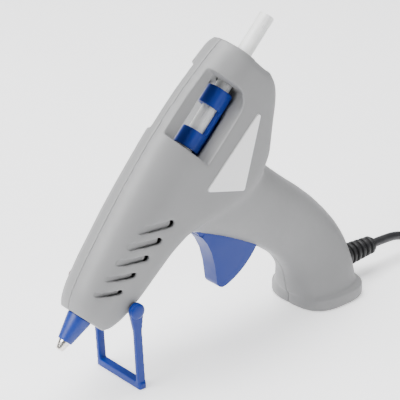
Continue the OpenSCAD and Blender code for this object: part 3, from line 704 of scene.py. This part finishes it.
def screw(mesh, place, shank_r, head_r, low, seat, top):
    """A pan head screw along z, from low to top with its head above seat."""
    rim = seat + 0.4
    slot = 0.16 * head_r
    reach = 0.55 * head_r
    hollow = 0.6
    pan = [(0, low), (shank_r * 0.5, low), (shank_r, low + 1.2), (shank_r, seat),
           (head_r - 0.15, seat), (head_r, seat + 0.2)]
    pan += [(head_r * math.cos(a), rim + (top - seat - 0.4) * math.sin(a))
            for a in (0.4, 0.8, 1.15)]
    pan += [(reach, top - 0.06), (slot, top - 0.55), (0, top - hollow)]
    turned(mesh, pan, Matrix.Identity(4), 24, False)
    for turn in (0, math.pi / 2):
        bar = bmesh.ops.create_cube(mesh, size=1)["verts"]
        flat = Matrix.Diagonal((2 * reach * 0.92 * MM, slot * 2 * MM, 0.5 * MM, 1))
        bmesh.ops.transform(mesh, verts=bar, matrix=Matrix.Rotation(turn, 4, "Z")
                            @ Matrix.Translation((0, 0, (top - hollow) * MM)) @ flat)
    mesh.transform(place)


mesh = bmesh.new()
for place in screw_places:
    one = bmesh.new()
    screw(one, Matrix.Translation(place) @ to_right, shank_r=1.5, head_r=3, low=-10, seat=9, top=11)
    join(mesh, one)
piece("shell_screws_pan", mesh, "body", zinc, ["shell_screws"])

# ---- Pilot lamp ----
# A smoked red lens with a domed end is pressed into the upper right flank. It is shown unlit, as
# the gun isn't plugged in.
def smoked_lens():
    """Dark red moulded lens, smooth and clear-coated."""
    finish = Finish("smoked_lens")
    cloud = finish.spread(finish.noise(0.003), 0, 1)
    dark, light = (0.09, 0.012, 0.010, 1), (0.14, 0.018, 0.014, 1)
    return finish.wear(Base_Color=finish.mix(cloud, dark, light),
                       Roughness=finish.spread(finish.noise(0.001), 0.1, 0.18), Coat_Weight=0.4)


lamp_s = 48 * MM
lamp_turn = math.radians(43)
lamp_place = (barrel @ Matrix.Translation((0, 0, lamp_s)) @ Matrix.Rotation(lamp_turn, 4, "Z")
              @ Matrix.Rotation(-math.pi / 2, 4, "X"))
lamp_outline = [(0, 12.5), (2.3, 12.5), (2.5, 12.7), (2.5, 20.4), (2.3, 21.1), (1.8, 21.6),
                (1.0, 21.9), (0, 22)]
mesh = bmesh.new()
turned(mesh, lamp_outline, lamp_place, 32, False)
piece("pilot_lamp_lens", mesh, "body", smoked_lens(), ["pilot_lamp"])

# ---- Check ball and its spring ----
# A steel ball closes the nozzle's bore, so that melted glue doesn't drip. The light coil spring at
# the ball gives way when the trigger pushes the stick.
def dress(node, finish):
    """Gives one part that is kept as it was drawn its finish."""
    mesh = frame["nodes"][node].data
    mesh.materials.clear()
    mesh.materials.append(finish)


def wire_coil(mesh, place, mean_r, wire_r, low, high, turns, sides=8, steps=18):
    """A helix of round wire along z, in millimetres, with closed ends."""
    made = bmesh.ops.create_circle(mesh, cap_ends=False, radius=wire_r * MM,
                                   segments=sides)["verts"]
    bmesh.ops.transform(mesh, verts=made,
                        matrix=Matrix.Translation((mean_r * MM, 0, low * MM)) @ along_y)
    edges = list({e for v in made for e in v.link_edges})
    count = round(turns * steps)
    rise = Vector((0, 0, (high - low) * MM / count))
    bmesh.ops.spin(mesh, geom=list(made) + edges, cent=(0, 0, 0), axis=(0, 0, 1),
                   angle=2 * math.pi * turns, steps=count, dvec=rise, use_merge=False)
    bmesh.ops.holes_fill(mesh, edges=[e for e in mesh.edges if e.is_boundary], sides=sides)
    mesh.transform(place)


spring_steel = metal("spring_steel", (0.42, 0.42, 0.44), 0.3)
dress("check_ball", metal("ball_steel", (0.66, 0.66, 0.67), 0.15))
mesh = bmesh.new()
wire_coil(mesh, barrel, mean_r=2.02, wire_r=0.24, low=12.4, high=19.5, turns=6.5)
piece("ball_spring_coil", mesh, "body", spring_steel, ["ball_spring"])

# ---- Melting chamber ----
# The die cast aluminium chamber holds the melt. A flat ceramic heater is wedged into its lower
# pocket, and two phenolic rings keep the heat away from the shells.
def cast_metal():
    """Die cast aluminium with a rough skin."""
    finish = Finish("cast_aluminium")
    skin = finish.noise(0.0009, 4, 0.6)
    cloud = finish.spread(finish.noise(0.01, 4), 0, 1)
    return finish.wear(Base_Color=finish.mix(cloud, (0.50, 0.50, 0.51, 1), (0.66, 0.66, 0.67, 1)),
                       Metallic=1.0,
                       Roughness=finish.spread(skin, 0.42, 0.6),
                       Normal=finish.bump(skin, 0.00006, 0.7))


def fired_body(name, colour, gloss):
    """Sintered or moulded mineral-filled material with fine specks."""
    finish = Finish(name)
    specks = finish.spread(finish.noise(0.0008, 2), 0, 1, 0.5, 0.7)
    return finish.wear(Base_Color=finish.mix(specks, shade(colour, 1), shade(colour, 0.6)),
                       Roughness=finish.spread(finish.noise(0.002), gloss - 0.06, gloss + 0.08),
                       Normal=finish.bump(specks, 0.00002, 0.4))


aluminium = cast_metal()
dress("heat_chamber", aluminium)
dress("heater_wedge", aluminium)
dress("ptc_heater", fired_body("heater_ceramic", (0.32, 0.27, 0.24), 0.7))
phenolic = fired_body("phenolic_brown", (0.16, 0.085, 0.045), 0.5)
for node in ("front_mount", "rear_mount"):
    dress(node, phenolic)

# ---- Feed sleeve, its clamp and the inlet guide ----
# A red silicone sleeve leads the stick into the chamber and is held by a steel band. A black guide
# at the rear keeps the stick on the barrel's axis.
dress("feed_sleeve", silicone("sleeve_red", (0.36, 0.03, 0.015), 0.5))
dress("sleeve_clamp", zinc)
guide_black = grain_plastic("guide_black", (0.022, 0.022, 0.024), 0.5, 0.0006, 0.00004)
dress("inlet_guide", guide_black)

# ---- Clamp jaw and the pins ----
# The jaw is stamped steel with teeth that bite the stick. The jaw and the trigger turn on zinc
# plated pins, and a third pin is the return spring's post.
stamped = metal("stamped_steel", (0.50, 0.50, 0.52), 0.34, (1, 12, 1))
dress("clamp_jaw", stamped)
for node in ("jaw_pin", "trigger_pin", "spring_post"):
    dress(node, zinc)

# ---- Return spring ----
# An extension spring below the carriage hooks over a pin on the drawbar and over a post in the
# shells. It pulls the carriage and the trigger back.
spring_d = 18
spring_line = barrel @ Matrix.Translation((spring_d * MM, 0, 0))
spring_coil_s = (187, 213)
spring_wire_r = 0.35
hooks = ((184.6, 2.4), (215.9, 3.0))
mesh = bmesh.new()
wire_coil(mesh, spring_line, 2.62, spring_wire_r, *spring_coil_s, turns=20)
for hook_s, hook_r in hooks:
    hook = bmesh.new()
    hook_line = spring_line @ Matrix.Translation((0, 0, hook_s * MM)) @ along_y
    wire_coil(hook, hook_line, hook_r, spring_wire_r, -0.1, 0.1, turns=0.98)
    join(mesh, hook)
spring = piece("return_spring_coil", mesh, "loose", spring_steel, ["return_spring"])
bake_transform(spring)

# ---- Cord clamp ----
# A black bar and two screws hold the cord on the posts inside the handle, so that a pull on the
# cord doesn't reach the wires.
dress("cord_clamp", guide_black)
clamp_top = 26.2
clamp_x = 8.5
clamp_half_y = 8.5
mesh = bmesh.new()
for y in (-clamp_half_y, clamp_half_y):
    one = bmesh.new()
    screw(one, Matrix.Translation((clamp_x * MM, y * MM, 0)), shank_r=1.3, head_r=2.6, low=9,
          seat=clamp_top, top=clamp_top + 1.8)
    join(mesh, one)
piece("clamp_screws_pan", mesh, "body", zinc, ["clamp_screws"])

# ---- Terminal block and wires ----
# An ivory nylon block joins the cord's two cores to the heater's leads. The leads are insulated in
# brown and blue silicone and run up on either side of the feed.
dress("terminal_block", grain_plastic("nylon_ivory", (0.56, 0.53, 0.44), 0.4, 0.0007, 0.00002))
dress("live_wire", silicone("lead_brown", (0.10, 0.035, 0.014), 0.46))
dress("neutral_wire", silicone("lead_blue", (0.012, 0.06, 0.26), 0.46))
dress("core_wires", silicone("core_brown", (0.12, 0.045, 0.018), 0.46))
dress("cord_end", cord_black)

# ---- Coil tie ----
# A black strap goes round the coil once, on the side away from the gun. It holds the turns together
# while the cord is put away.
tie_low, tie_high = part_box("coil_tie")
tie_mid = (tie_low + tie_high) / 2 / MM
strap_t = 0.8
strap_half_w = 3
strap_corner_r = 4
strap_half_x = (tie_high.x - tie_low.x) / 2 / MM
strap_half_z = (tie_high.z - tie_low.z) / 2 / MM


def strap_outline(inset):
    """The strap's loop seen from the side, made smaller by inset."""
    half_x, half_z = strap_half_x - inset, strap_half_z - inset
    corners = [(tie_mid.x + sx * half_x, tie_mid.z + sz * half_z)
               for sx, sz in ((-1, -1), (1, -1), (1, 1), (-1, 1))]
    return rounded(corners, strap_corner_r - inset, 6)


mesh = bmesh.new()
loops = []
for outline in (strap_outline(0), strap_outline(strap_t)):
    ends = [[mesh.verts.new((x * MM, tie_mid.y * MM + side * strap_half_w * MM, z * MM))
             for x, z in outline] for side in (-1, 1)]
    rims = [[mesh.edges.new((ring[i - 1], ring[i])) for i in range(len(ring))] for ring in ends]
    bmesh.ops.bridge_loops(mesh, edges=rims[0] + rims[1])
    loops.append(rims)
for end in (0, 1):
    bmesh.ops.bridge_loops(mesh, edges=loops[0][end] + loops[1][end])
soften(mesh, 0.15 * MM, 2, 60)
strap_black = grain_plastic("strap_black", (0.02, 0.02, 0.021), 0.55, 0.0005, 0.00003)
tie = piece("coil_tie_strap", mesh, "body", strap_black, ["coil_tie"])

# ---- Mains plug ----
# A flat two-pin plug is moulded onto the cord in black rubber, with a grip waist and a ribbed neck.
# Its pins are nickel plated and sleeved in black for half of their length.
plug_at = Vector((168, 9.3, 28.4))
neck_ribs = 4
plug_corners = [(-6.6, -17.6), (6.6, -17.6), (6.6, 17.6), (-6.6, 17.6)]
plug_corner_r = 6.5
plug_from = 14
# each step of the moulding: its length and how much of its width it keeps
plug_steps = ((1.2, 1.0), (7, 1.0), (4, 0.93), (4, 1.0), (5, 1.0), (0.8, 0.97))
pin_from = 36
pin_half_gap = 9.3
mesh = bmesh.new()
neck = [(lead_bore, 0.2), (4.4, 0.2)]
for i in range(neck_ribs):
    rib = 1.2 + 3.1 * i
    swell = 4.5 + 0.35 * i
    neck += [(swell, rib - 0.3), (swell + 0.6, rib), (swell + 0.6, rib + 1.4), (swell, rib + 1.7)]
neck += [(5.9, 14.6), (lead_bore, 14.6)]
plug_line = Matrix.Translation(plug_at * MM) @ along_x
turned(mesh, neck, plug_line, 40)
plug_neck = piece("plug_neck", mesh, "body", soft_rubber("plug_rubber", (0.014, 0.014, 0.015)))
mesh = bmesh.new()
face = mesh.faces.new([mesh.verts.new((x * MM, y * MM, plug_from * MM))
                       for x, y in rounded(plug_corners, plug_corner_r, 10)])
for length, share in plug_steps:
    face = bmesh.ops.extrude_discrete_faces(mesh, faces=[face])["faces"][0]
    for v in face.verts:
        v.co = Vector((v.co.x, v.co.y, v.co.z + length * MM))
        if share != 1.0:
            v.co.y *= share
bmesh.ops.holes_fill(mesh, edges=[e for e in mesh.edges if e.is_boundary], sides=0)
mesh.transform(plug_line)
soften(mesh, 0.4 * MM, 2, 40)
plug = piece("plug_moulding", mesh, "body", cord_black, ["plug_body"])
pin_outline = [(0, 0), (2, 0), (2, 17.4), (1.85, 18.2), (1.4, 18.8), (0.8, 19), (0, 19)]
sleeve_outline = [(1.98, 0), (2.1, 0), (2.1, 8.8), (1.98, 9)]
pins = bmesh.new()
sleeves = bmesh.new()
for y in (-pin_half_gap, pin_half_gap):
    pin_line = Matrix.Translation((plug_at + Vector((pin_from, y, 0))) * MM) @ along_x
    for mesh, outline, closed in ((pins, pin_outline, False), (sleeves, sleeve_outline, True)):
        one = bmesh.new()
        turned(one, outline, pin_line, 32, closed)
        join(mesh, one)
pin_piece = piece("plug_pins_plated", pins, "body", tip_metal, ["plug_pins"])
sleeve_piece = piece("plug_pin_sleeves", sleeves, "body", guide_black)
